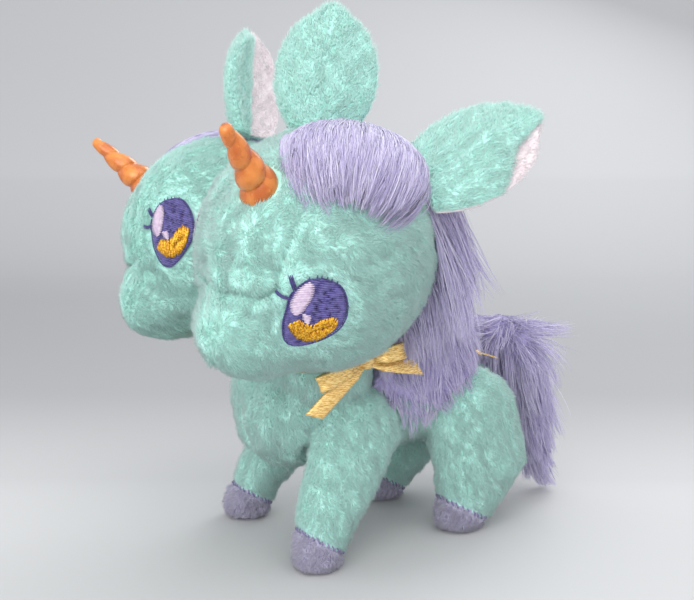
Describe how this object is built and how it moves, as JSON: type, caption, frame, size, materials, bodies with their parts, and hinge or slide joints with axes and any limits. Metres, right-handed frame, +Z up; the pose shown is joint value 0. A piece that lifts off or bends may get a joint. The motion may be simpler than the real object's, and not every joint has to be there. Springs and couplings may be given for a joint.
{
  "type": "plush unicorn",
  "caption": "Double-headed plush unicorn in short mint fur, standing, with twisted horns, embroidered eyes, leaf-shaped ears, long-pile lilac manes and tail, and satin ribbon bows.",
  "frame": {"origin": "middle of the animal's bounding box, on the ground under its hooves", "axes": "+Z up, -Y is the way the animal faces, +X is its left side"},
  "size_m": [0.1646, 0.1718, 0.1886],
  "materials": {
    "mint_fur": "matte",
    "stuffing": "matte",
    "ear_lining": "matte",
    "hoof_fur": "matte",
    "horn_resin": "satin",
    "ribbon": "satin",
    "iris_thread": "satin",
    "highlight_thread": "satin",
    "gold_thread": "satin",
    "lilac_hair": "matte"
  },
  "bodies": {
    "torso": {"torso_skin": "mint_fur", "torso_stuffing": "stuffing", "mane_back": "lilac_hair", "neck_ribbon": "ribbon", "bow_knot": "ribbon", "bow_loop_front": "ribbon", "bow_loop_rear": "ribbon", "bow_end_front": "ribbon", "bow_end_rear": "ribbon", "tail_bow_knot": "ribbon", "tail_bow_loop_left": "ribbon", "tail_bow_loop_right": "ribbon", "tail_bow_end_left": "ribbon", "tail_bow_end_right": "ribbon"},
    "head_left": {"head_skin_left": "mint_fur", "head_stuffing_left": "stuffing", "horn_left": "horn_resin", "eye_outer_iris_left": "iris_thread", "eye_outer_highlight_left": "highlight_thread", "eye_outer_glint_left": "gold_thread", "eye_inner_iris_left": "iris_thread", "eye_inner_highlight_left": "highlight_thread", "eye_inner_glint_left": "gold_thread", "forelock_left": "lilac_hair", "mane_left": "lilac_hair"},
    "ear_inner_left": {"ear_inner_back_left": "mint_fur", "ear_inner_lining_left": "ear_lining"},
    "ear_outer_left": {"ear_outer_back_left": "mint_fur", "ear_outer_lining_left": "ear_lining"},
    "leg_front_left": {"leg_front_skin_left": "mint_fur", "leg_front_stuffing_left": "stuffing", "hoof_front_left": "hoof_fur"},
    "leg_hind_left": {"leg_hind_skin_left": "mint_fur", "leg_hind_stuffing_left": "stuffing", "hoof_hind_left": "hoof_fur"},
    "head_right": {"head_skin_right": "mint_fur", "head_stuffing_right": "stuffing", "horn_right": "horn_resin", "eye_outer_iris_right": "iris_thread", "eye_outer_highlight_right": "highlight_thread", "eye_outer_glint_right": "gold_thread", "eye_inner_iris_right": "iris_thread", "eye_inner_highlight_right": "highlight_thread", "eye_inner_glint_right": "gold_thread", "forelock_right": "lilac_hair", "mane_right": "lilac_hair"},
    "ear_inner_right": {"ear_inner_back_right": "mint_fur", "ear_inner_lining_right": "ear_lining"},
    "ear_outer_right": {"ear_outer_back_right": "mint_fur", "ear_outer_lining_right": "ear_lining"},
    "leg_front_right": {"leg_front_skin_right": "mint_fur", "leg_front_stuffing_right": "stuffing", "hoof_front_right": "hoof_fur"},
    "leg_hind_right": {"leg_hind_skin_right": "mint_fur", "leg_hind_stuffing_right": "stuffing", "hoof_hind_right": "hoof_fur"},
    "tail": {"tail_hair": "lilac_hair"}
  },
  "joints": [
    {"name": "head_left_nod", "type": "hinge", "parent": "torso", "child": "head_left", "pos_m": [0, -0.03507, 0.08], "axis": [1, 0, 0], "range_deg": [-10, 10], "stiffness_Nm_per_rad": 0.8},
    {"name": "ear_inner_left_flop", "type": "hinge", "parent": "head_left", "child": "ear_inner_left", "pos_m": [0.02948, -0.04015, 0.14954], "axis": [-0.5093, -0.8505, 0.1313], "range_deg": [-18, 18], "stiffness_Nm_per_rad": 0.02},
    {"name": "ear_outer_left_flop", "type": "hinge", "parent": "head_left", "child": "ear_outer_left", "pos_m": [0.06401, -0.02427, 0.13259], "axis": [-0.6946, -0.1373, 0.7062], "range_deg": [-18, 18], "stiffness_Nm_per_rad": 0.02},
    {"name": "leg_front_left_swing", "type": "hinge", "parent": "torso", "child": "leg_front_left", "pos_m": [0.023, -0.02307, 0.042], "axis": [1, 0, 0], "range_deg": [-15, 15], "stiffness_Nm_per_rad": 0.3},
    {"name": "leg_hind_left_swing", "type": "hinge", "parent": "torso", "child": "leg_hind_left", "pos_m": [0.021, 0.02993, 0.041], "axis": [1, 0, 0], "range_deg": [-12, 12], "stiffness_Nm_per_rad": 0.3},
    {"name": "head_right_nod", "type": "hinge", "parent": "torso", "child": "head_right", "pos_m": [0, -0.03507, 0.08], "axis": [1, 0, 0], "range_deg": [-10, 10], "stiffness_Nm_per_rad": 0.8},
    {"name": "ear_inner_right_flop", "type": "hinge", "parent": "head_right", "child": "ear_inner_right", "pos_m": [-0.02948, -0.04015, 0.14954], "axis": [0.5093, -0.8505, 0.1313], "range_deg": [-18, 18], "stiffness_Nm_per_rad": 0.02},
    {"name": "ear_outer_right_flop", "type": "hinge", "parent": "head_right", "child": "ear_outer_right", "pos_m": [-0.06401, -0.02427, 0.13259], "axis": [0.6946, -0.1373, 0.7062], "range_deg": [-18, 18], "stiffness_Nm_per_rad": 0.02},
    {"name": "leg_front_right_swing", "type": "hinge", "parent": "torso", "child": "leg_front_right", "pos_m": [-0.023, -0.02307, 0.042], "axis": [1, 0, 0], "range_deg": [-15, 15], "stiffness_Nm_per_rad": 0.3},
    {"name": "leg_hind_right_swing", "type": "hinge", "parent": "torso", "child": "leg_hind_right", "pos_m": [-0.021, 0.02993, 0.041], "axis": [1, 0, 0], "range_deg": [-12, 12], "stiffness_Nm_per_rad": 0.3},
    {"name": "tail_lift", "type": "hinge", "parent": "torso", "child": "tail", "pos_m": [0, 0.05093, 0.055], "axis": [1, 0, 0], "range_deg": [0, 30], "stiffness_Nm_per_rad": 0.05}
  ]
}
